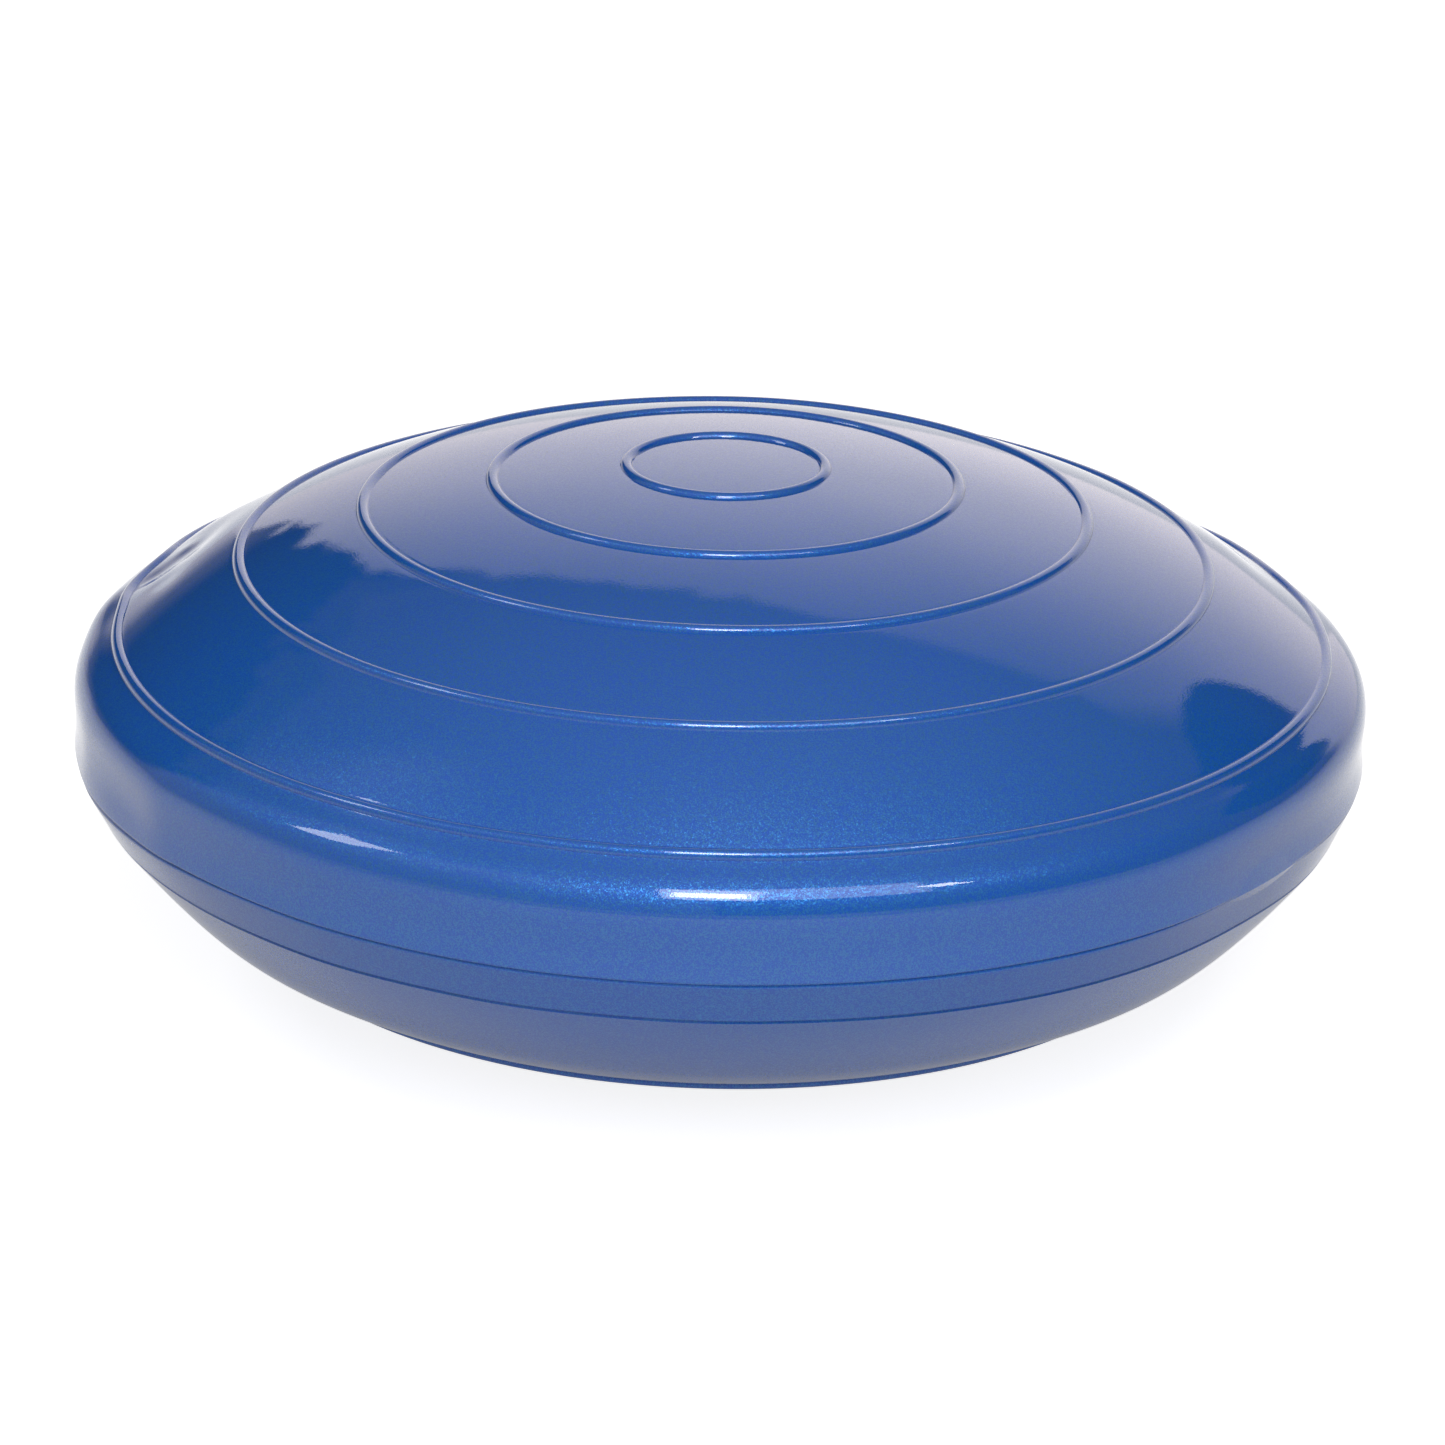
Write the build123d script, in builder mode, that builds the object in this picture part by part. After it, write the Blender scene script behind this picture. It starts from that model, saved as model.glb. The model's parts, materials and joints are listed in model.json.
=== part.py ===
from build123d import *

import os
from math import atan, cos, hypot, pi, sin

# A round inflatable balance disc, domed on both sides, standing on its underside.
# Millimetres. +Z is up, and the origin is the centre of the flat patch that the disc rests on.

# Driving dimensions of the disc.
DISC_RADIUS = 275.0
SEAM_HEIGHT = 107.0
TOTAL_HEIGHT = 225.0
WALL = 3.0
PROFILE_STEPS = 6

# The dome falls from its apex by one amount with the square of the radius and one with its fourth power.
RING_REACH = 255.7
ROUND_DROP = 45.4
RIM_DROP = 26.1
SHOULDER_RADIUS = 14.0
WAIST_DEPTH = 1.2

# Below the seam come a short sloping band, a crease, and a bowl that rises with the radius's fourth power.
CREASE_RADIUS = 266.7
CREASE_HEIGHT = 88.6
FLAT_RADIUS = 50.0
BOWL_RISE = CREASE_HEIGHT / (CREASE_RADIUS**4 - FLAT_RADIUS**4)

# Raised beads are round bars moulded into the skin, sunk so that only their backs stand proud.
DOME_BEADS = (41.8, 98.2, 152.6, 204.6, RING_REACH)
BOWL_BEADS = (98.2, 152.6, 204.6)
BEAD_RADIUS = 2.2
BEAD_SINK = 0.7

# The valve sits in the bowl at the back, square to the skin. Heights are measured out of the skin along its axis.
VALVE_REACH = 236.0
SEAT_HOLE_RADIUS = 11.0
SEAT_GAP = 0.05
SEAT_TOP = 0.8
SEAT_ROUND = 0.5
SEAT_FLANGE_RADIUS = 16.0
SEAT_FLANGE_TOP = -4.2
SEAT_FLANGE_BOTTOM = -6.4
SEAT_TUBE_RADIUS = 7.0
SEAT_TUBE_END = -20.0
SEAT_BORE_RADIUS = 4.5
POCKET_RADIUS = 8.2
POCKET_FLOOR = -2.2

# The stopper is a flat head with a lifting lip, on a stem with a tapered tip.
HEAD_RADIUS = 7.9
HEAD_BOTTOM = -1.9
HEAD_TOP = 0.6
HEAD_ROUND = 0.5
STEM_RADIUS = 4.42
STEM_END = -18.0
TIP_RADIUS = 3.2
TIP_LENGTH = 4.0
LIP_LENGTH = 8.0
LIP_THICKNESS = 1.6
LIP_HEIGHT = 2.4
LIP_OFFSET = 4.0
LIP_ROUND = 0.5


def dome_slope(radius):
    """How steeply the dome falls at a radius, as a tangent."""
    share = radius / RING_REACH
    return (2 * ROUND_DROP * share + 4 * RIM_DROP * share**3) / RING_REACH


def dome_point(radius, inset=0.0):
    """A point of the dome's profile, moved square to the skin into the disc by inset."""
    share = radius / RING_REACH
    height = TOTAL_HEIGHT - ROUND_DROP * share**2 - RIM_DROP * share**4
    slope = dome_slope(radius)
    length = hypot(slope, 1)
    return (radius - inset * slope / length, height - inset / length)


def bowl_slope(radius):
    """How steeply the bowl rises at a radius, as a tangent."""
    return 4 * BOWL_RISE * radius**3


def bowl_point(radius, inset=0.0):
    """A point of the bowl's profile, moved square to the skin into the disc by inset."""
    height = BOWL_RISE * (radius**4 - FLAT_RADIUS**4)
    slope = bowl_slope(radius)
    length = hypot(slope, 1)
    return (radius - inset * slope / length, height + inset / length)


def evenly(start, end):
    """Radii from start to end in equal steps."""
    return [start + (end - start) * step / PROFILE_STEPS for step in range(PROFILE_STEPS + 1)]


def shoulder():
    """The radius where the shoulder's arc leaves the dome, and the point where it meets the side band."""
    radius = DISC_RADIUS
    for _ in range(20):
        fall = atan(dome_slope(radius))
        chord = 2 * SHOULDER_RADIUS * sin((pi / 2 - fall) / 2)
        chord_angle = (pi / 2 + fall) / 2
        radius = DISC_RADIUS - chord * cos(chord_angle)
    return radius, (DISC_RADIUS, dome_point(radius)[1] - chord * sin(chord_angle))


dome_edge, band_top = shoulder()
dome_fall = dome_slope(dome_edge)
inside_radius = DISC_RADIUS - WALL
seam_outside = (DISC_RADIUS, SEAM_HEIGHT)
seam_inside = (inside_radius, SEAM_HEIGHT)

# Upper shell: dome, five beads, shoulder and side band, down to the seam.
with BuildPart() as upper_shell:
    with BuildSketch(Plane.XZ) as upper_profile:
        with BuildLine():
            dome = Spline(*[dome_point(r) for r in evenly(0, dome_edge)], tangents=[(1, 0), (1, -dome_fall)])
            TangentArc(dome @ 1, band_top, tangent=dome % 1)
            ThreePointArc(
                band_top,
                (DISC_RADIUS - WAIST_DEPTH, (band_top[1] + SEAM_HEIGHT) / 2),
                seam_outside,
            )
            Line(seam_outside, seam_inside)
            Line(seam_inside, (inside_radius, band_top[1]))
            dome_inside = Spline(
                *[dome_point(r, WALL) for r in evenly(dome_edge, 0)],
                tangents=[(-1, dome_fall), (-1, 0)],
            )
            Line((inside_radius, band_top[1]), dome_inside @ 0)
            Line(dome_inside @ 1, dome @ 0)
        make_face()
        with Locations(*[dome_point(r, BEAD_SINK) for r in DOME_BEADS]):
            Circle(BEAD_RADIUS)
    revolve(axis=Axis.Z)
upper_shell.part.label = "upper_shell"

# The valve's axis leaves the skin square to it, at the back of the bowl.
valve_mouth = bowl_point(VALVE_REACH)
valve_inward = bowl_point(VALVE_REACH, 1.0)
valve_direction = Vector(0, valve_mouth[0] - valve_inward[0], valve_mouth[1] - valve_inward[1])
valve_face = Plane(
    origin=(0, valve_mouth[0], valve_mouth[1]),
    x_dir=(1, 0, 0),
    z_dir=valve_direction,
)
valve_section = Plane(origin=valve_face.origin, x_dir=valve_face.x_dir, z_dir=-valve_face.y_dir)
valve_axis = Axis(valve_face.origin, valve_face.z_dir)

# Lower shell: the band below the seam, the crease and the bowl, with a flat patch and a hole for the valve.
with BuildPart() as lower_shell:
    with BuildSketch(Plane.XZ) as lower_profile:
        with BuildLine():
            bowl = Spline(
                *[bowl_point(r) for r in evenly(FLAT_RADIUS, CREASE_RADIUS)],
                tangents=[(1, bowl_slope(FLAT_RADIUS)), (1, bowl_slope(CREASE_RADIUS))],
            )
            Line((0, 0), bowl @ 0)
            Line(bowl @ 1, seam_outside)
            Line(seam_outside, seam_inside)
            bowl_inside = Spline(
                *[bowl_point(r, WALL) for r in evenly(CREASE_RADIUS, FLAT_RADIUS)],
                tangents=[(-1, -bowl_slope(CREASE_RADIUS)), (-1, -bowl_slope(FLAT_RADIUS))],
            )
            Line(seam_inside, bowl_inside @ 0)
            Line(bowl_inside @ 1, (0, WALL))
            Line((0, WALL), (0, 0))
        make_face()
        with Locations(*[bowl_point(r, BEAD_SINK) for r in BOWL_BEADS]):
            Circle(BEAD_RADIUS)
    revolve(axis=Axis.Z)
    with BuildSketch(valve_face.offset(SEAT_TOP)):
        Circle(SEAT_HOLE_RADIUS)
    extrude(amount=SEAT_TUBE_END, mode=Mode.SUBTRACT)
lower_shell.part.label = "lower_shell"

# Valve seat: a collar in the skin, a flange bonded behind it, and a tube that grips the stopper.
with BuildPart() as valve_seat:
    with BuildSketch(valve_section) as seat_profile:
        with BuildLine():
            Polyline(
                (SEAT_BORE_RADIUS, SEAT_TUBE_END),
                (SEAT_TUBE_RADIUS, SEAT_TUBE_END),
                (SEAT_TUBE_RADIUS, SEAT_FLANGE_BOTTOM),
                (SEAT_FLANGE_RADIUS, SEAT_FLANGE_BOTTOM),
                (SEAT_FLANGE_RADIUS, SEAT_FLANGE_TOP),
                (SEAT_HOLE_RADIUS - SEAT_GAP, SEAT_FLANGE_TOP),
                (SEAT_HOLE_RADIUS - SEAT_GAP, SEAT_TOP),
                (POCKET_RADIUS, SEAT_TOP),
                (POCKET_RADIUS, POCKET_FLOOR),
                (SEAT_BORE_RADIUS, POCKET_FLOOR),
                close=True,
            )
        make_face()
        fillet(seat_profile.vertices().group_by(Axis.Y)[-1], SEAT_ROUND)
    revolve(axis=valve_axis)
valve_seat.part.label = "valve_seat"

# Valve stopper: head, tapered stem and a lip to pull it by.
with BuildPart() as valve_stopper:
    with BuildSketch(valve_section) as stopper_profile:
        with BuildLine():
            Polyline(
                (0, STEM_END),
                (TIP_RADIUS, STEM_END),
                (STEM_RADIUS, STEM_END + TIP_LENGTH),
                (STEM_RADIUS, HEAD_BOTTOM),
                (HEAD_RADIUS, HEAD_BOTTOM),
                (HEAD_RADIUS, HEAD_TOP),
                (0, HEAD_TOP),
                close=True,
            )
        make_face()
    revolve(axis=valve_axis)
    fillet(valve_stopper.edges().filter_by(GeomType.CIRCLE).sort_by(valve_axis)[-1], HEAD_ROUND)
    with BuildSketch(valve_face.offset(HEAD_TOP)):
        with Locations((0, LIP_OFFSET)):
            SlotOverall(LIP_LENGTH, LIP_THICKNESS)
    extrude(amount=LIP_HEIGHT)
    fillet(valve_stopper.faces().sort_by(valve_axis)[-1].edges(), LIP_ROUND)
valve_stopper.part.label = "valve_stopper"

os.makedirs("parts", exist_ok=True)
for piece in (upper_shell, lower_shell, valve_seat, valve_stopper):
    export_step(piece.part, f"parts/{piece.part.label}.step")
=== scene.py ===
import json
import math

import bmesh
import bpy
import numpy as np
from mathutils import Matrix, Vector


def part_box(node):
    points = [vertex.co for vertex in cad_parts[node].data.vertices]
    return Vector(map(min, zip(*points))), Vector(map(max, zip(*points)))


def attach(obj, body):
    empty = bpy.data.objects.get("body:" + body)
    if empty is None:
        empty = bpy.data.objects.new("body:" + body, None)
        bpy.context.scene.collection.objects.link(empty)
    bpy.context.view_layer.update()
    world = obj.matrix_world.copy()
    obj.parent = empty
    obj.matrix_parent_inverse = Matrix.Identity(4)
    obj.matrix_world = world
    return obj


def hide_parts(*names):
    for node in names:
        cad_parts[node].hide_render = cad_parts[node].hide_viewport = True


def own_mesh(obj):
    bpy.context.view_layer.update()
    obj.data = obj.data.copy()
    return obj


# An inflatable balance disc: two vinyl shells that meet at a moulded seam, and a stopper valve in the
# underside. Metres. The origin is the centre of the patch that the disc rests on, and +Y points to the valve
# at the back.

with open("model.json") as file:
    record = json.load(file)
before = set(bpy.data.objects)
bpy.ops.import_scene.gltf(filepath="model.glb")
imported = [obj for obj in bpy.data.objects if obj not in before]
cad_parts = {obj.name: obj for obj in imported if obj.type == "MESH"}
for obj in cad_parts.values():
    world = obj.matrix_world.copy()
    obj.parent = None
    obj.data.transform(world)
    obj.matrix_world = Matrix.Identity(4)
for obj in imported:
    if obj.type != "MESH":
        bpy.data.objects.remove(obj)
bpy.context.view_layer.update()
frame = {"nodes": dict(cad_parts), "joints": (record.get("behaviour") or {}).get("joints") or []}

MM = 0.001

# Sizes read from the frame.
_, upper_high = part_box("upper_shell")
_, lower_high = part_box("lower_shell")
DISC_RADIUS = lower_high.x
SEAM_Z = lower_high.z
joints = {joint["name"]: joint for joint in frame["joints"]}
VALVE_AXIS = Vector(joints["stopper_pull"]["axis"])
VALVE_MOUTH = Vector((0, 0.236, 0.0543))
VALVE_HOLE_RADIUS = 11 * MM

# The dome: its apex, how far it has dropped at the last ring (a square part and a fourth-power part), and
# its rings.
APEX_Z = upper_high.z - 1.2 * MM
RING_REACH = 0.9298 * DISC_RADIUS
ROUND_DROP = 45.4 * MM
RIM_DROP = 26.1 * MM
DOME_RINGS = (41.8 * MM, 98.2 * MM, 152.6 * MM, 204.6 * MM, RING_REACH)

# The rolled rim beyond the last ring: how steeply it falls (degrees) at each distance (millimetres) past the
# dome.
RIM_FALL = (
    (0, 37.5),
    (2.5, 32),
    (6, 30),
    (12, 39),
    (18.5, 62),
    (25, 84),
    (29.5, 92),
    (37, 92),
    (44, 86),
    (50, 84),
)
RIM_START = RING_REACH + 2.2 * MM
RIM_STEP = 0.25
RIM_LONGEST = 80

# The sloping band below the seam, its crease, and the bowl with its rings and its flat patch.
CREASE_RADIUS = 265.9 * MM
CREASE_Z = 88.6 * MM
FLAT_RADIUS = 50 * MM
BOWL_RINGS = (98.2 * MM, 152.6 * MM, 204.6 * MM)

# The skin: its wall, how far its seam stands inside the disc's radius, and the lower shell's step there.
WALL = 3 * MM
SEAM_INSET = 0.8 * MM
SEAM_LIP = 0.35 * MM

# The moulded rings, raised beads with a faint groove along both feet. A lower bead has a shallower groove.
BEAD_HEIGHT = 1.8 * MM
BEAD_HALF_WIDTH = 2.6 * MM
BOWL_BEAD_HEIGHT = 1.1 * MM
BOWL_BEAD_HALF_WIDTH = 2.0 * MM
BEAD_ROUNDNESS = 0.65
GROOVE_DEPTH = 0.05 * MM
GROOVE_HALF_WIDTH = 0.7 * MM
GROOVE_FROM_FOOT = 0.5 * MM
FULL_GROOVE_HEIGHT = BEAD_HEIGHT / 1.4

# The two sunk lines: the crease, which is a bead turned inwards, and the seam.
CREASE_HEIGHT = -1.1 * MM
CREASE_HALF_WIDTH = 0.9 * MM
SEAM_GROOVE = 1.1 * MM
SEAM_GROOVE_SPREAD = 0.6 * MM

# How finely the shells are divided: round the axis, along the profile, and across beads and grooves.
PROFILE_POINTS = 300
BAND_POINTS = 12
SECTORS = 480
UPPER_ROW_STEP = 2.5 * MM
LOWER_ROW_STEP = 3.0 * MM
FINE_ROW_STEP = 0.3 * MM
FINE_ROW_MARGIN = 1.6 * MM
RIM_ROW_STEP = 1.2 * MM
RIM_ROW_MARGINS = (2 * MM, 1.8 * MM)
INSIDE_ROWS = 48
SHARP_EDGE = math.radians(38)
ON_AXIS = 1e-6
LEAST_RADIUS = 1e-4


# ---------------------------------------------------------------- profiles

def dome_height(radius):
    share = radius / RING_REACH
    return APEX_Z - ROUND_DROP * share**2 - RIM_DROP * share**4


def bowl_height(radius):
    return CREASE_Z * (radius**4 - FLAT_RADIUS**4) / (CREASE_RADIUS**4 - FLAT_RADIUS**4)


def smooth_step(low, high, value):
    """Rises smoothly from 0 at low to 1 at high, or falls where high is the less."""
    t = np.clip((value - low) / (high - low), 0, 1)
    return t * t * (3 - 2 * t)


def upper_outline():
    """The upper shell's outside, from the apex to the seam."""
    points = [(r, dome_height(r)) for r in np.linspace(0, RIM_START, PROFILE_POINTS)]
    spots, falls = zip(*RIM_FALL)
    r, z = points[-1]
    rim = []
    for s in np.arange(RIM_STEP, RIM_LONGEST, RIM_STEP):
        fall = math.radians(float(np.interp(s, spots, falls)))
        r += math.cos(fall) * RIM_STEP * MM
        z -= math.sin(fall) * RIM_STEP * MM
        rim.append((r, z))
        if z < SEAM_Z:
            break
    # Spreads what the rim is out by at the seam over its whole length.
    drift = DISC_RADIUS - SEAM_INSET - rim[-1][0]
    for k, (r, z) in enumerate(rim):
        share = (k + 1) / len(rim)
        points.append((r + drift * share, max(z, SEAM_Z)))
    return points


def lower_outline():
    """The lower shell's outside, from the seam to the centre of the flat patch."""
    points = []
    top = DISC_RADIUS - SEAM_INSET - SEAM_LIP
    for share in np.linspace(0, 1, BAND_POINTS):
        points.append((top + (CREASE_RADIUS - top) * share, SEAM_Z + (CREASE_Z - SEAM_Z) * share))
    bowl_radii = np.linspace(CREASE_RADIUS, FLAT_RADIUS, PROFILE_POINTS)[1:]
    points += [(r, bowl_height(r)) for r in bowl_radii]
    points.append((0, 0))
    return points


class Profile:
    """An outline that can be read at any distance along it."""

    def __init__(self, points):
        self.points = np.array(points)
        steps = np.hypot(*np.diff(self.points, axis=0).T)
        self.along = np.concatenate([[0], np.cumsum(steps)])
        self.length = self.along[-1]

    def at(self, s):
        return np.stack([np.interp(s, self.along, self.points[:, k]) for k in (0, 1)], -1)

    def normal(self, s):
        reach = 0.5 * MM
        run = self.at(np.minimum(s + reach, self.length)) - self.at(np.maximum(s - reach, 0))
        run /= np.linalg.norm(run, axis=-1, keepdims=True)
        return np.stack([-run[..., 1], run[..., 0]], -1)

    def distance_at_radius(self, radius):
        order = slice(None) if self.points[-1, 0] > self.points[0, 0] else slice(None, None, -1)
        return float(np.interp(radius, self.points[order, 0], self.along[order]))


def rows_for(profile, marks, coarse):
    """Distances along a profile: coarse steps, and fine ones across each mark, a middle and a half width."""
    ends = (0.0, profile.length)
    rows = set(np.round(np.arange(0, profile.length, coarse), 6)) | set(ends)
    for middle, half_width in marks:
        reach = half_width + FINE_ROW_MARGIN
        rows = {m for m in rows if abs(m - middle) > reach or m in ends}
        across = np.arange(middle - reach, middle + reach + FINE_ROW_STEP / 2, FINE_ROW_STEP)
        rows |= {m for m in across if 0 < m < profile.length}
    return np.array(sorted(rows))


# ---------------------------------------------------------------- the skin's relief

# Places where the rim is pushed in or stands out: direction and spread in degrees, height above the seam and
# its spread in millimetres, and how far out in millimetres.
RIM_BUMPS = (
    (206, 11, 0, 13, 1.9),
    (199, 3, 14, 16, 0.5),
    (208, 5, 14, 14, -0.9),
    (216, 3, 14, 16, 0.8),
    (228, 7, 14, 16, -0.6),
    (176, 7, 20, 12, -1.0),
    (324, 11, 2, 20, -3.2),
    (345, 9, 14, 16, -0.6),
    (28, 8, 32, 14, 1.2),
)

# Dents and swellings of the dome: direction and spread in degrees, radius and its spread in millimetres, and
# height in millimetres.
DOME_DENTS = (
    (170, 6, 236, 12, -2.4),
    (175, 5, 264, 8, 1.2),
    (158, 5, 238, 14, 0.8),
    (16, 7, 240, 12, -1.2),
    (28, 7, 262, 8, 1.0),
    (174, 2.5, 246, 7, -1.1),
    (168, 2.5, 240, 6, 1.0),
    (179, 3.0, 238, 7, -0.7),
)

# Where the last ring wanders: direction, spread in degrees, and shift away from the apex in millimetres.
RING_KINKS = (
    (165, 3.5, -2.4),
    (174, 4, 1.6),
    (18, 4, -1.8),
    (8, 4, 1.0),
)
KINK_REACH = 14 * MM

# The bowl is a little flatter along a ring, which fades in and out between these radii. It is fuller at both
# front quarters, with places given as the dome's are.
BOWL_SINK = 1.4 * MM
BOWL_SINK_INNER = (150 * MM, 185 * MM)
BOWL_SINK_OUTER = (232 * MM, 205 * MM)
BOWL_SWELLS = (
    (321, 22, 234, 18, 1.6),
    (219, 22, 234, 18, 1.6),
)

# Seeded ripples: height, seed, how many waves, and the fewest and most crests round the disc.
DOME_RIPPLE = (0.12 * MM, 21, 6, 3, 11)
RIM_RIPPLES = ((0.30 * MM, 3, 6, 3, 9), (0.16 * MM, 8, 7, 10, 24))

# Radii between which the ripples fade in.
DOME_RIPPLE_FADE = (0.1 * DISC_RADIUS, 0.5 * DISC_RADIUS)
UPPER_RIM_FADE = (0.6 * DISC_RADIUS, 0.97 * DISC_RADIUS)
LOWER_RIM_FADE = (0.8 * DISC_RADIUS, 0.97 * DISC_RADIUS)


def bead(distance, height, half_width):
    """The height of a round bead at a distance from its middle, with a groove at each foot."""
    inside = np.clip(1 - (distance / half_width) ** 2, 0, 1) ** BEAD_ROUNDNESS
    foot = bell(np.abs(distance), half_width + GROOVE_FROM_FOOT, GROOVE_HALF_WIDTH)
    return height * inside - GROOVE_DEPTH * min(1, height / FULL_GROOVE_HEIGHT) * foot


def bell(value, centre, spread):
    return np.exp(-(((value - centre) / spread) ** 2))


def bump(theta, centre_deg, spread_deg):
    """A bell round one direction, one high."""
    away = (np.degrees(theta) - centre_deg + 180) % 360 - 180
    return bell(away, 0, spread_deg)


def ripple(theta, height, seed, count, fewest, most):
    """A smooth seeded ripple round the axis, about as high as height."""
    rng = np.random.default_rng(seed)
    total = np.zeros_like(theta)
    for _ in range(count):
        strength = rng.uniform(0.4, 1)
        crests = rng.integers(fewest, most)
        total = total + strength * np.cos(crests * theta + rng.uniform(0, 2 * math.pi))
    return height * total / math.sqrt(count)


def swellings(theta, across, places):
    """The sum of dents and bumps, each a bell in direction and in the other measure given."""
    total = np.zeros_like(theta * across)
    for centre, spread, middle, width, amount in places:
        total = total + amount * MM * bump(theta, centre, spread) * bell(across, middle * MM, width * MM)
    return total


def rim_wave(theta, height):
    """The rim's bumps and soft waves, for a height above the seam."""
    return sum(ripple(theta, *waves) for waves in RIM_RIPPLES) + swellings(theta, height, RIM_BUMPS)


def seam_groove(height):
    return SEAM_GROOVE * bell(height, 0, SEAM_GROOVE_SPREAD)


def upper_relief(theta, s):
    """How far each point of the upper shell moves along its profile and out of it."""
    radius = upper.at(s)[..., 0]
    height = upper.at(s)[..., 1] - SEAM_Z
    near_ring = bell(s, upper_beads[-1][0], KINK_REACH)
    shift = np.zeros_like(s * theta)
    for centre, spread, amount in RING_KINKS:
        shift = shift + amount * MM * bump(theta, centre, spread) * near_ring
    lift = sum(bead(s - middle, BEAD_HEIGHT, half) for middle, half in upper_beads)
    lift = lift + swellings(theta, radius, DOME_DENTS)
    lift = lift + rim_wave(theta, height) * smooth_step(*UPPER_RIM_FADE, radius)
    lift = lift + ripple(theta, *DOME_RIPPLE) * smooth_step(*DOME_RIPPLE_FADE, radius)
    return shift, lift - seam_groove(height)


def lower_relief(theta, s):
    """The same for the lower shell, whose points move only out of its profile."""
    radius = lower.at(s)[..., 0]
    height = lower.at(s)[..., 1] - SEAM_Z
    lift = sum(bead(s - middle, BOWL_BEAD_HEIGHT, half) for middle, half in lower_beads)
    lift = lift + bead(s - crease_at, CREASE_HEIGHT, CREASE_HALF_WIDTH)
    lift = lift - BOWL_SINK * smooth_step(*BOWL_SINK_INNER, radius) * smooth_step(*BOWL_SINK_OUTER, radius)
    lift = lift + swellings(theta, radius, BOWL_SWELLS)
    lift = lift + rim_wave(theta, height) * smooth_step(*LOWER_RIM_FADE, radius)
    return np.zeros_like(s * theta), lift - seam_groove(height)


# ---------------------------------------------------------------- shells

def ring_points(outline, distance, spots, theta):
    """One ring of points round the axis, or a single point on it."""
    r, z = spots[:, 0], spots[:, 1]
    seam_at = outline.length if outline is upper else 0.0
    if distance == seam_at:
        z = np.full_like(z, SEAM_Z)
    if outline.at(distance)[0] < ON_AXIS:
        return [(0.0, 0.0, float(z.mean()))]
    r = np.maximum(r, LEAST_RADIUS)
    return list(zip(r * np.cos(theta), r * np.sin(theta), z))


def strip(here, there, a, b):
    """Faces between two rings whose points are numbered from a and from b."""
    if len(here) == 1 and len(there) == 1:
        return []
    faces = []
    for i in range(SECTORS):
        n = (i + 1) % SECTORS
        if len(here) == 1:
            faces.append((a, b + i, b + n))
        elif len(there) == 1:
            faces.append((a + n, a + i, b))
        else:
            faces.append((a + i, b + i, b + n, a + n))
    return faces


def shell_mesh(name, outline, rows, relief):
    """A closed shell: the outside with its relief, and a plain inside one wall further in."""
    theta = (np.arange(SECTORS) * 2 * math.pi / SECTORS)[None, :]
    inside_rows = np.linspace(outline.length, 0, INSIDE_ROWS)
    rings = []
    for distances, depth in ((rows, 0.0), (inside_rows, WALL)):
        s = distances[:, None]
        shift, lift = relief(theta, s)
        moved = np.clip(s + shift, 0, outline.length)
        if depth:
            lift = np.full_like(lift, -depth)
        spots = outline.at(moved) + outline.normal(moved) * lift[..., None]
        rings += [ring_points(outline, d, row, theta[0]) for row, d in zip(spots, distances)]
    vertices, starts, faces = [], [], []
    for ring in rings:
        starts.append(len(vertices))
        vertices.extend(ring)
    # The lower shell's last inside ring is at the seam, and joins on to the first outside one there.
    strips = len(rings) if outline is lower else len(rings) - 1
    for k in range(strips):
        following = (k + 1) % len(rings)
        faces += strip(rings[k], rings[following], starts[k], starts[following])
    mesh = bpy.data.meshes.new(name)
    mesh.from_pydata(vertices, [], faces)
    piece = bpy.data.objects.new(name, mesh)
    bpy.context.scene.collection.objects.link(piece)
    shade(piece)
    return piece


def shade(piece):
    """Faces the normals outwards, and shades smooth except over sharp edges."""
    work = bmesh.new()
    work.from_mesh(piece.data)
    bmesh.ops.recalc_face_normals(work, faces=work.faces)
    for face in work.faces:
        face.smooth = True
    for edge in work.edges:
        edge.smooth = len(edge.link_faces) == 2 and edge.calc_face_angle() < SHARP_EDGE
    work.to_mesh(piece.data)
    work.free()


upper = Profile(upper_outline())
lower = Profile(lower_outline())
upper_beads = [(upper.distance_at_radius(r), BEAD_HALF_WIDTH) for r in DOME_RINGS]
lower_beads = [(lower.distance_at_radius(r), BOWL_BEAD_HALF_WIDTH) for r in BOWL_RINGS]
crease_at = lower.distance_at_radius(CREASE_RADIUS)


def upper_shell():
    rows = rows_for(upper, upper_beads + [(upper.length, 0)], UPPER_ROW_STEP)
    rim_at = upper.distance_at_radius(RIM_START)
    after_dome, before_seam = RIM_ROW_MARGINS
    rim_rows = np.arange(rim_at + after_dome, upper.length - before_seam, RIM_ROW_STEP)
    rows = np.array(sorted(set(rows) | set(rim_rows)))
    return shell_mesh("upper_skin", upper, rows, upper_relief)


def lower_shell():
    lines = [(crease_at, CREASE_HALF_WIDTH), (0, 0)]
    rows = rows_for(lower, lower_beads + lines, LOWER_ROW_STEP)
    return shell_mesh("lower_skin", lower, rows, lower_relief)


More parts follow.
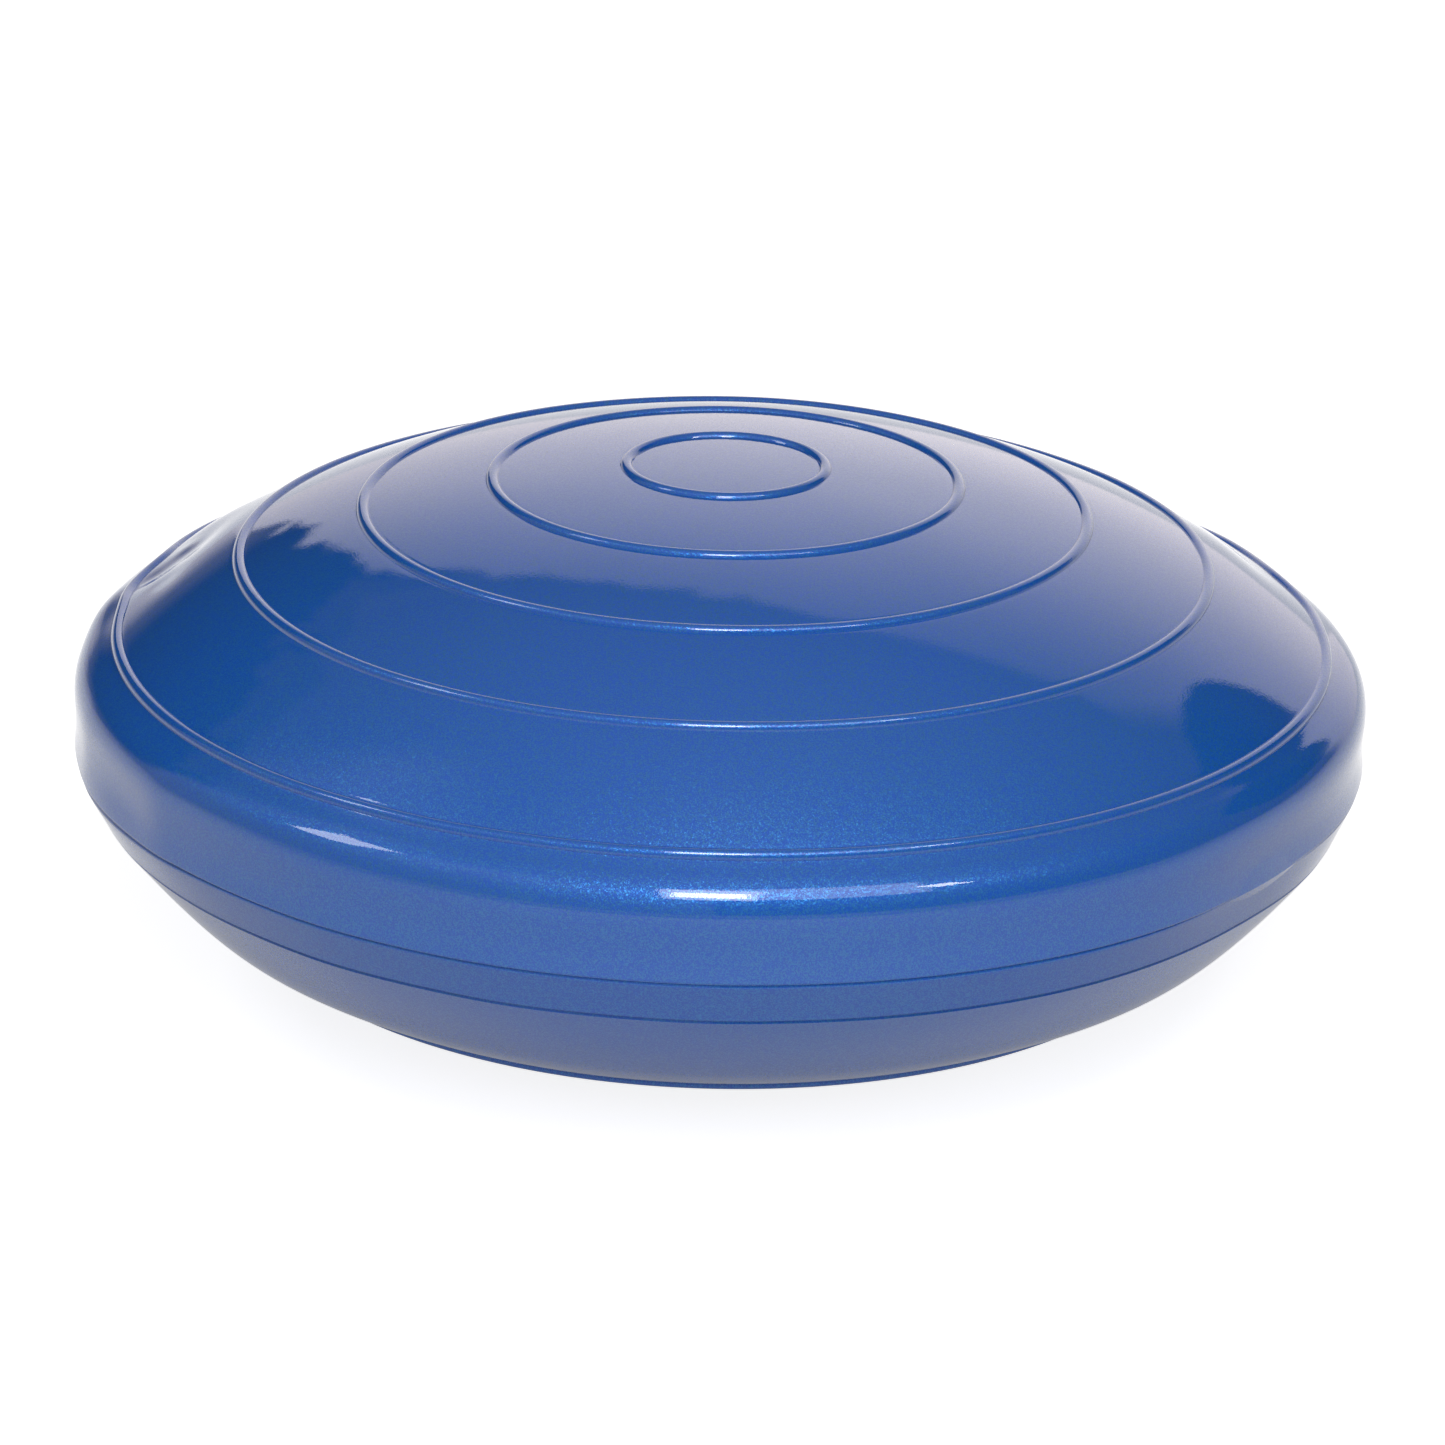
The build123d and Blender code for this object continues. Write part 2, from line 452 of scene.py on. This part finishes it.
def cut_valve_hole(piece):
    """Opens the round hole that the valve seat fills, square to the bowl."""
    drill_length = 30 * MM
    drill_mesh = bpy.data.meshes.new("drill")
    work = bmesh.new()
    bmesh.ops.create_cone(
        work,
        cap_ends=True,
        segments=64,
        radius1=VALVE_HOLE_RADIUS,
        radius2=VALVE_HOLE_RADIUS,
        depth=drill_length,
        matrix=Matrix.Translation(VALVE_MOUTH) @ VALVE_AXIS.to_track_quat("Z", "Y").to_matrix().to_4x4(),
    )
    work.to_mesh(drill_mesh)
    work.free()
    drill = bpy.data.objects.new("drill", drill_mesh)
    bpy.context.scene.collection.objects.link(drill)
    cut = piece.modifiers.new("cut", "BOOLEAN")
    cut.object = drill
    cut.operation = "DIFFERENCE"
    cut.solver = "EXACT"
    bpy.context.view_layer.update()
    drilled = bpy.data.meshes.new_from_object(piece.evaluated_get(bpy.context.evaluated_depsgraph_get()))
    piece.modifiers.clear()
    piece.data = drilled
    piece.data.name = piece.name
    bpy.data.objects.remove(drill)
    shade(piece)


# ---------------------------------------------------------------- node trees

class Nodes:
    """Short calls for building a node tree."""

    def __init__(self, tree):
        self.tree = tree
        tree.nodes.clear()

    def add(self, kind, inputs=None, **settings):
        node = self.tree.nodes.new(kind)
        for key, value in settings.items():
            setattr(node, key, value)
        for key, value in (inputs or {}).items():
            if isinstance(value, bpy.types.NodeSocket):
                self.tree.links.new(value, node.inputs[key])
            else:
                node.inputs[key].default_value = value
        return node

    def math(self, operation, *values):
        return self.add("ShaderNodeMath", dict(enumerate(values)), operation=operation).outputs[0]

    def plus(self, a, b):
        return self.math("ADD", a, b)

    def minus(self, a, b):
        return self.math("SUBTRACT", a, b)

    def times(self, a, b):
        return self.math("MULTIPLY", a, b)

    def over(self, a, b):
        return self.math("DIVIDE", a, b)

    def scaled(self, value, factor, offset):
        return self.math("MULTIPLY_ADD", value, factor, offset)

    def vector(self, operation, inputs):
        return self.add("ShaderNodeVectorMath", inputs, operation=operation).outputs

    def remap(self, value, low, high, to_low=0.0, to_high=1.0, kind="SMOOTHSTEP"):
        ends = {"From Min": low, "From Max": high, "To Min": to_low, "To Max": to_high}
        return self.add("ShaderNodeMapRange", {"Value": value, **ends}, interpolation_type=kind).outputs[0]

    def noise(self, where, scale, detail):
        inputs = {"Vector": where, "Scale": scale, "Detail": detail}
        return self.add("ShaderNodeTexNoise", inputs).outputs["Fac"]

    def bumps(self, height, strength, distance):
        inputs = {"Height": height, "Strength": strength, "Distance": distance}
        return self.add("ShaderNodeBump", inputs).outputs[0]

    def blend(self, factor, first, second):
        """A colour between two."""
        node = self.add("ShaderNodeMix", {"Factor": factor}, data_type="RGBA")
        for socket, colour in ((6, first), (7, second)):
            node.inputs[socket].default_value = (*colour, 1)
        return node.outputs[2]

    def bell(self, value, centre, spread):
        away = self.over(self.minus(value, centre), spread)
        return self.math("EXPONENT", self.times(self.times(away, away), -1.0))


def new_material(name):
    material = bpy.data.materials.new(name)
    material.use_nodes = True
    return material, Nodes(material.node_tree)


# ---------------------------------------------------------------- materials

# Pearl vinyl: the colours of its ground and its flakes, how fine they are, how far each flake leans, and how
# they gather. A noise is a scale and a detail.
VINYL_GROUND = (0.005, 0.057, 0.375)
VINYL_FLAKE = (0.033, 0.228, 0.50)
FLAKES_PER_METRE = 2300.0
FLAKE_LEAN = 0.23
FLAKE_METAL = 0.85
FLAKE_ROUGHNESS = 0.37
BLOTCHES = (620.0, 2.0)
BLOTCH_SHARE = 0.5
CLOUDS = (11.0, 3.0)
CLOUD_SHARE = 0.3
FLAKE_LOT = (0.3, 0.95)
FLAKE_BRIGHTNESS = (0.1, 0.66)
PIMPLES = (900.0, 2.0)
PIMPLE_DEPTH = 0.016 * MM

# The valve's plain plastics: colours, the band of noise between them, how polish varies, and their grain.
COLLAR_DARK = (0.006, 0.045, 0.19)
COLLAR_LIGHT = (0.010, 0.062, 0.25)
STOPPER_DARK = (0.66, 0.66, 0.62)
STOPPER_LIGHT = (0.78, 0.78, 0.75)
PLASTIC_CLOUD_DETAIL = 4.0
PLASTIC_CLOUD_BAND = (0.35, 0.7)
PLASTIC_POLISH_SPREAD = 0.3
PLASTIC_GRAIN = (2600.0, 2.0)
PLASTIC_GRAIN_STRENGTH = 0.6
PLASTIC_GRAIN_DEPTH = 0.05 * MM

FLOOR_BOUNCE = 0.08


def pearl_vinyl():
    """Deep blue vinyl full of fine pearl flakes, under a clear glossy skin."""
    material, n = new_material("pearl_vinyl")
    where = n.add("ShaderNodeTexCoord").outputs["Object"]
    normal = n.add("ShaderNodeNewGeometry").outputs["Normal"]
    flakes = n.add("ShaderNodeTexVoronoi", {"Vector": where, "Scale": FLAKES_PER_METRE}).outputs["Color"]
    lot = n.add("ShaderNodeTexWhiteNoise", {"Vector": flakes}).outputs["Value"]

    # Each flake leans its own way out of the skin.
    tilt = n.vector("SUBTRACT", {0: flakes, 1: (0.5, 0.5, 0.5)})[0]
    tilt = n.vector("SCALE", {0: tilt, "Scale": FLAKE_LEAN})[0]
    leaned = n.vector("ADD", {0: normal, 1: tilt})[0]
    flake_normal = n.vector("NORMALIZE", {0: leaned})[0]

    # The lot says how bright a flake each cell is, and flakes are brighter in the blotches and clouds.
    blotch = n.minus(n.noise(where, *BLOTCHES), 0.5)
    cloud = n.minus(n.noise(where, *CLOUDS), 0.5)
    share = n.plus(lot, n.times(blotch, BLOTCH_SHARE))
    share = n.plus(share, n.times(cloud, CLOUD_SHARE))
    flake = n.remap(share, *FLAKE_LOT, *FLAKE_BRIGHTNESS)

    surface = n.add(
        "ShaderNodeBsdfPrincipled",
        {
            "Base Color": n.blend(flake, VINYL_GROUND, VINYL_FLAKE),
            "Metallic": n.times(flake, FLAKE_METAL),
            "Roughness": FLAKE_ROUGHNESS,
            "Specular IOR Level": 0.0,
            "Specular Tint": (0, 0, 0, 1),
            "Normal": flake_normal,
            "Coat Weight": 1.0,
            "Coat Roughness": 0.0,
            "Coat IOR": 1.5,
            "Coat Normal": n.bumps(n.noise(where, *PIMPLES), 1.0, PIMPLE_DEPTH),
        },
    )
    n.add("ShaderNodeOutputMaterial", {"Surface": surface.outputs[0]})
    return material


def moulded_plastic(name, dark, light, roughness, cloud_scale):
    """Plain moulded plastic, a little uneven in colour and polish, with a fine grain."""
    material, n = new_material(name)
    where = n.add("ShaderNodeTexCoord").outputs["Object"]
    cloud = n.noise(where, cloud_scale, PLASTIC_CLOUD_DETAIL)
    grain = n.noise(where, *PLASTIC_GRAIN)
    surface = n.add(
        "ShaderNodeBsdfPrincipled",
        {
            "Base Color": n.blend(n.remap(cloud, *PLASTIC_CLOUD_BAND), dark, light),
            "Roughness": n.scaled(n.minus(cloud, 0.5), PLASTIC_POLISH_SPREAD, roughness),
            "Normal": n.bumps(grain, PLASTIC_GRAIN_STRENGTH, PLASTIC_GRAIN_DEPTH),
        },
    )
    n.add("ShaderNodeOutputMaterial", {"Surface": surface.outputs[0]})
    return material


def floor_white():
    """The white sweep, which glows so that only a soft shadow is left on it. From below it is clear."""
    material, n = new_material("floor_white")
    rays = n.add("ShaderNodeLightPath").outputs
    where = n.add("ShaderNodeTexCoord").outputs["Object"]
    away = n.vector("LENGTH", {0: where})["Value"]
    ahead = n.add("ShaderNodeSeparateXYZ", {0: where}).outputs["Y"]

    # Mirrored in the clear skin, the floor's glow is dimmer near the disc, a painted shadow of the disc, and
    # dimmer towards the camera. Seen straight on, it grows paler away from the disc. It throws only a little
    # light on the disc.
    painted_disc_shadow = n.remap(away, 0.08, 0.6, 0.28, 1.0)
    near_camera = n.remap(ahead, -0.6, 0.1, 0.6, 0.95)
    mirrored = n.times(painted_disc_shadow, near_camera)
    paleness = n.remap(away, 1.0, 3.5, 0.85, 1.1)
    seen = n.times(rays["Is Camera Ray"], paleness)
    glow = n.scaled(rays["Is Diffuse Ray"], FLOOR_BOUNCE, seen)
    glow = n.scaled(rays["Is Singular Ray"], mirrored, glow)

    surface = n.add(
        "ShaderNodeBsdfPrincipled",
        {
            "Base Color": (0.6, 0.6, 0.6, 1),
            "Roughness": 0.9,
            "Specular IOR Level": 0.0,
            "Emission Color": (1, 1, 1, 1),
            "Emission Strength": glow,
        },
    )
    under = n.add("ShaderNodeNewGeometry").outputs["Backfacing"]
    clear = n.add("ShaderNodeBsdfTransparent")
    sided = n.add("ShaderNodeMixShader", {0: under, 1: surface.outputs[0], 2: clear.outputs[0]})
    n.add("ShaderNodeOutputMaterial", {"Surface": sided.outputs[0]})
    return material


# ---------------------------------------------------------------- studio

# Light from the room where no lamp reaches: on the plain vinyl, on its flakes, and as the camera sees it.
AMBIENT = 0.172
FLAKE_AMBIENT = 0.07
PLAIN_WHITE = 1.1
ROOM_TINT = (1, 0.93, 0.91, 1)

# The unevenness of edges in the room: a noise's scale and detail, and the coarse one's range in degrees.
RAGGED_NOISE = (7.0, 5.0)
RAGGED_RANGE = 14.0
FRAYED_NOISE = (17.0, 6.0)

# The backdrop, in degrees: where its edges fade out, how its left edge leans, and its arched top. Its
# brightest place is a middle and a spread in azimuth and in elevation.
BACKDROP_LEFT = (-16.8, -15.8)
BACKDROP_RIGHT = (50.0, 42.0)
BACKDROP_TOP = (0.5, -1.0)
BACKDROP_LEAN = 0.17
BACKDROP_FRAY = 9.0
BACKDROP_RAGGED = 0.3
ARCH_MIDDLE = 22.0
ARCH_HALF_WIDTH = 44.0
ARCH_HEIGHT = 50.5
ARCH_SAG = 18.0
GLOW_ACROSS = (12.0, 46.0)
GLOW_UP = (13.0, 39.0)
BACKDROP_LIGHT = 1.85

# The left gap, in degrees: its sides, its foot, and its hill-shaped top, whose two steps darken it in turn.
LEFT_GAP_SIDES = ((-66.0, -60.0), (-14.0, -16.0))
LEFT_GAP_FOOT = (6.0, 12.0, 0.0, 0.93)
HILL_MIDDLE = -44.0
HILL_SLOPE = 0.16
LOWER_STEP = (36.4, 35.6)
LOWER_STEP_SHARE = 0.6
LOWER_STEP_FRAY = 16.0
UPPER_STEP = (41.2, 40.4)
UPPER_STEP_SHARE = 0.4

# The right gap, in degrees: a blunt oval's middle and half size across and up, and how it pales at its foot.
RIGHT_GAP_ACROSS = (54.0, 16.0)
RIGHT_GAP_UP = (26.0, 11.5)
RIGHT_GAP_BLUNTNESS = 2.6
RIGHT_GAP_RAGGED = 0.4
RIGHT_GAP_EDGE = (1.1, 0.98)
RIGHT_GAP_FOOT = (12.0, 22.0, 0.55, 1.0)
GAP_DARKNESS = 0.96


class Sky:
    """The directions of the room, in degrees: azimuth 0 is behind the disc, and 90 is to its right."""

    def __init__(self, n):
        direction = n.add("ShaderNodeTexCoord").outputs["Generated"]
        xyz = n.add("ShaderNodeSeparateXYZ", {0: direction}).outputs
        self.depth = xyz["Y"]
        self.azimuth = n.math("DEGREES", n.math("ARCTAN2", xyz["X"], xyz["Y"]))
        self.elevation = n.math("DEGREES", n.math("ARCSINE", xyz["Z"]))
        # Two unevennesses for the edges of what the room holds, a coarse one in degrees and a fine one.
        self.ragged = n.times(n.minus(n.noise(direction, *RAGGED_NOISE), 0.5), RAGGED_RANGE)
        self.frayed = n.minus(n.noise(direction, *FRAYED_NOISE), 0.5)


def backdrop_shape(n, sky):
    """Where the backdrop stands: one inside, none outside. Its top is arched, and its left edge leans."""
    aside = n.over(n.minus(sky.azimuth, ARCH_MIDDLE), ARCH_HALF_WIDTH)
    top = n.scaled(n.times(aside, aside), -ARCH_SAG, ARCH_HEIGHT)
    fray_leftwards = n.remap(sky.azimuth, 12.0, -8.0, 0.0, BACKDROP_FRAY)
    above_top = n.plus(n.minus(sky.elevation, top), n.times(sky.frayed, fray_leftwards))
    unevenness = n.scaled(sky.frayed, BACKDROP_FRAY, n.times(sky.ragged, BACKDROP_RAGGED))
    left_edge = n.plus(n.scaled(sky.elevation, BACKDROP_LEAN, sky.azimuth), unevenness)
    across = n.times(n.remap(left_edge, *BACKDROP_LEFT), n.remap(sky.azimuth, *BACKDROP_RIGHT))
    return n.times(across, n.remap(above_top, *BACKDROP_TOP))


def backdrop_light(n, sky):
    """The backdrop is brightest low down and a little right of the middle."""
    glow = n.times(n.bell(sky.azimuth, *GLOW_ACROSS), n.bell(sky.elevation, *GLOW_UP))
    return n.times(glow, BACKDROP_LIGHT)


def ceiling_light(n, sky):
    """The rest of the room, brighter overhead, behind the camera, at the far left and at the horizon."""
    overhead = n.remap(sky.elevation, 40.0, 90.0, 0.2, 0.7, "LINEAR")
    front = n.times(n.remap(sky.depth, 0.1, -0.3, 0.0, 0.3), n.remap(sky.elevation, 15.0, 60.0))
    side = n.times(n.remap(sky.azimuth, -54.0, -68.0), n.remap(sky.elevation, 70.0, 55.0))
    light = n.plus(overhead, front)
    light = n.plus(light, n.times(side, 0.3))
    horizon = n.remap(sky.elevation, 9.0, 0.0, 0.0, 0.9)
    return n.math("MAXIMUM", light, horizon)


def left_gap(n, sky, backdrop):
    """The dark gap at the backdrop's left, with a ragged top that darkens in two steps."""
    from_hill = n.math("ABSOLUTE", n.plus(sky.azimuth, -HILL_MIDDLE))
    upper_top = n.scaled(from_hill, HILL_SLOPE, n.plus(sky.elevation, sky.ragged))
    lower_top = n.scaled(sky.frayed, LOWER_STEP_FRAY, upper_top)
    upper_dark = n.times(n.remap(upper_top, *UPPER_STEP), UPPER_STEP_SHARE)
    dark = n.scaled(n.remap(lower_top, *LOWER_STEP), LOWER_STEP_SHARE, upper_dark)
    across = n.times(*[n.remap(sky.azimuth, *side) for side in LEFT_GAP_SIDES])
    gap = n.times(n.times(across, dark), n.remap(sky.elevation, *LEFT_GAP_FOOT))
    return n.times(gap, n.minus(1.0, backdrop))


def right_gap(n, sky):
    """The dark gap at the backdrop's right, a blunt oval that is paler at its foot."""
    height = n.scaled(sky.ragged, RIGHT_GAP_RAGGED, sky.elevation)
    parts = []
    for value, (middle, half_size) in ((sky.azimuth, RIGHT_GAP_ACROSS), (height, RIGHT_GAP_UP)):
        away = n.math("ABSOLUTE", n.over(n.minus(value, middle), half_size))
        parts.append(n.math("POWER", away, RIGHT_GAP_BLUNTNESS))
    inside = n.remap(n.plus(*parts), *RIGHT_GAP_EDGE)
    return n.times(inside, n.remap(sky.elevation, *RIGHT_GAP_FOOT))


def studio_world():
    """A pale studio: a bright backdrop behind the disc, a dimmer ceiling, and dark gaps beside it."""
    world = bpy.data.worlds.new("studio")
    bpy.context.scene.world = world
    world.use_nodes = True
    n = Nodes(world.node_tree)
    sky = Sky(n)
    backdrop = backdrop_shape(n, sky)
    open_room = n.times(ceiling_light(n, sky), n.minus(1.0, backdrop))
    darkest = n.math("MAXIMUM", left_gap(n, sky, backdrop), right_gap(n, sky))
    gaps = n.minus(1.0, n.times(darkest, GAP_DARKNESS))
    room = n.times(n.scaled(backdrop, backdrop_light(n, sky), open_room), gaps)

    # Only the clear skin mirrors the room. What the lamps leave unlit gets a low even light, and the room
    # seen straight on is plain white.
    rays = n.add("ShaderNodeLightPath").outputs
    strength = n.scaled(rays["Is Diffuse Ray"], AMBIENT - FLAKE_AMBIENT, FLAKE_AMBIENT)
    strength = n.scaled(n.minus(room, FLAKE_AMBIENT), rays["Is Singular Ray"], strength)
    strength = n.math("MAXIMUM", strength, n.times(rays["Is Camera Ray"], PLAIN_WHITE))
    background = n.add("ShaderNodeBackground", {"Color": ROOM_TINT, "Strength": strength})
    n.add("ShaderNodeOutputWorld", {"Surface": background.outputs[0]})


# Lamps: azimuth and elevation in degrees, width and depth in metres, and power in watts.
LAMP_DISTANCE = 2.0
MIRRORED_LAMPS = {
    "key": (181, 49, 0.38, 0.34, 6.5),
    "key_halo": (181, 50, 0.5, 0.9, 8),
    "key_wash": (160, 54, 1.1, 0.9, 8),
    "key_edge": (132, 50, 0.2, 0.26, 2.4),
    "side": (262, 46, 0.4, 0.5, 4),
}
UNMIRRORED_LAMPS = {"fill": (178, 28, 1.4, 0.8, 13)}


def softbox(name, azimuth, elevation, width, depth, power, mirrored):
    """An area light that faces the disc from a direction; azimuth 0 is behind it and 90 is to its right."""
    a, e = math.radians(azimuth), math.radians(elevation)
    towards = Vector((math.sin(a) * math.cos(e), math.cos(a) * math.cos(e), math.sin(e)))
    data = bpy.data.lights.new(name, "AREA")
    data.shape = "RECTANGLE"
    data.size = width
    data.size_y = depth
    data.energy = power
    lamp = bpy.data.objects.new(name, data)
    bpy.context.scene.collection.objects.link(lamp)
    lamp.location = Vector((0, 0, SEAM_Z)) + towards * LAMP_DISTANCE
    lamp.rotation_mode = "QUATERNION"
    lamp.rotation_quaternion = (-towards).to_track_quat("-Z", "Y")
    lamp.visible_camera = False
    lamp.visible_glossy = mirrored


def studio_floor():
    reach = 12.0
    corners = [(-reach, -reach, 0), (reach, -reach, 0), (reach, reach, 0), (-reach, reach, 0)]
    mesh = bpy.data.meshes.new("floor")
    mesh.from_pydata(corners, [], [(0, 1, 2, 3)])
    floor = bpy.data.objects.new("floor", mesh)
    floor.location.z = -0.3 * MM
    bpy.context.scene.collection.objects.link(floor)
    floor.data.materials.append(floor_white())


def camera():
    """A long lens that looks down on the disc from the front, with a slight roll."""
    elevation = math.radians(21.1)
    roll = math.radians(1.38)
    distance = 7.69 * RING_REACH
    aim_right = 1.1 * MM
    data = bpy.data.cameras.new("camera")
    data.sensor_width = 36
    data.lens = 114.1
    data.clip_end = 100
    cam = bpy.data.objects.new("camera", data)
    bpy.context.scene.collection.objects.link(cam)
    back = Vector((0, -math.cos(elevation), math.sin(elevation)))
    cam.location = Vector((aim_right, 0, SEAM_Z)) + back * distance
    cam.rotation_mode = "QUATERNION"
    aim = (-back).to_track_quat("-Z", "Y")
    cam.rotation_quaternion = aim @ Matrix.Rotation(roll, 3, "Z").to_quaternion()
    bpy.context.scene.camera = cam


# ---------------------------------------------------------------- assembly

camera()
vinyl = pearl_vinyl()

upper_skin = upper_shell()
upper_skin.data.materials.append(vinyl)
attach(upper_skin, "base")
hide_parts("upper_shell")
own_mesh(upper_skin)

lower_skin = lower_shell()
cut_valve_hole(lower_skin)
lower_skin.data.materials.append(vinyl)
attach(lower_skin, "base")
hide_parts("lower_shell")

valve_vinyl = moulded_plastic("valve_vinyl", COLLAR_DARK, COLLAR_LIGHT, 0.42, 160.0)
stopper_white = moulded_plastic("stopper_white", STOPPER_DARK, STOPPER_LIGHT, 0.38, 220.0)
for node, finish in (("valve_seat", valve_vinyl), ("valve_stopper", stopper_white)):
    for holder in frame["nodes"][node].material_slots:
        holder.material = finish

studio_world()
for name, placing in MIRRORED_LAMPS.items():
    softbox(name, *placing, mirrored=True)
for name, placing in UNMIRRORED_LAMPS.items():
    softbox(name, *placing, mirrored=False)
studio_floor()
bpy.context.scene.view_settings.view_transform = "Standard"
